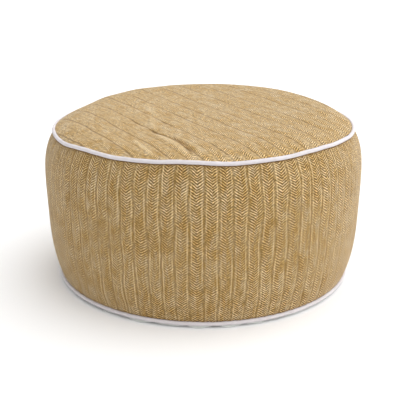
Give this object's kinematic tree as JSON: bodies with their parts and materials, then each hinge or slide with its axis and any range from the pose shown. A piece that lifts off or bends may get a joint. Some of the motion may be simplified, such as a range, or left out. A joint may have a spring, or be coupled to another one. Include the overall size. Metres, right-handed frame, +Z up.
{
  "type": "inflatable pouf",
  "caption": "Round inflatable pouf in a ribbed straw-coloured woven cover, with white corded welts around the top and bottom seams and a pale cloth base to rest on.",
  "frame": {"origin": "on the floor, below the middle of the base", "axes": "+Z up; -Y is the front, the side that the picture shows; +X is to the right seen from the front"},
  "size_m": [0.529, 0.529, 0.2826],
  "materials": {
    "cover_cloth": "straw-coloured herringbone weave in vertical ribs, matt",
    "welt_cloth": "white bias-cut cloth over cord, matt",
    "base_cloth": "pale grey-white plain cloth, matt"
  },
  "bodies": {
    "root": {"side_band": "cover_cloth", "top_panel": "cover_cloth", "base_panel": "base_cloth", "top_welt": "welt_cloth", "bottom_welt": "welt_cloth"}
  },
  "joints": []
}
